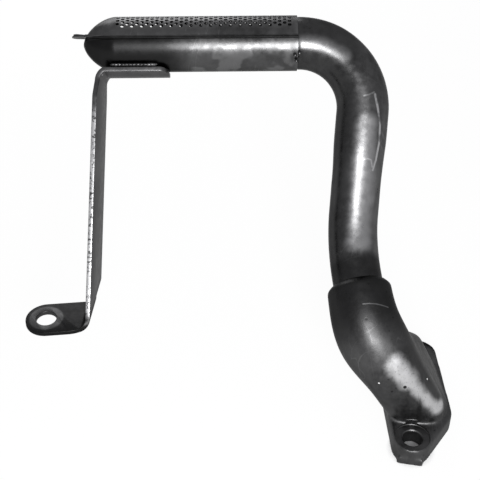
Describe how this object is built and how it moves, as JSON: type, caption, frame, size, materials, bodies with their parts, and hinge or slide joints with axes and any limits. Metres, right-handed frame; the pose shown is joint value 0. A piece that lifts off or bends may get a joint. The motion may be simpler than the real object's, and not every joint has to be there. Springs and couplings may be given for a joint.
{
  "type": "oil pipe",
  "caption": "Bent engine oil suction pipe with a perforated strainer head, a folded strap bracket with a bolt foot, and a cast elbow ending in an oval bolt flange.",
  "frame": {"origin": "centre of the outlet in the flange's mating face", "axes": "+Z out of the mating face into the casting, so the flange lies flat in z = 0; +X from the strainer's closed tip towards the tube's bend; +Y away from the viewer of the picture, the way the pipe leans"},
  "size_m": [0.2259, 0.1627, 0.1813],
  "materials": {
    "tube_steel": "bare drawn steel, greasy, satin",
    "sheet_steel": "bare pressed sheet, oil darkened",
    "bar_steel": "bare flat bar, oil darkened, nicked edge",
    "weld_metal": "weld bead, satin",
    "casting": "cast skin rubbed bright on its ridge, oil darkened"
  },
  "bodies": {
    "root": {"suction_tube": "tube_steel", "strainer_cover": "sheet_steel", "strainer_shell": "sheet_steel", "support_bracket": "bar_steel", "arm_weld_front": "weld_metal", "arm_weld_back": "weld_metal", "neck_tack_1": "weld_metal", "neck_tack_2": "weld_metal", "neck_tack_3": "weld_metal", "flange_elbow": "casting"}
  },
  "joints": []
}
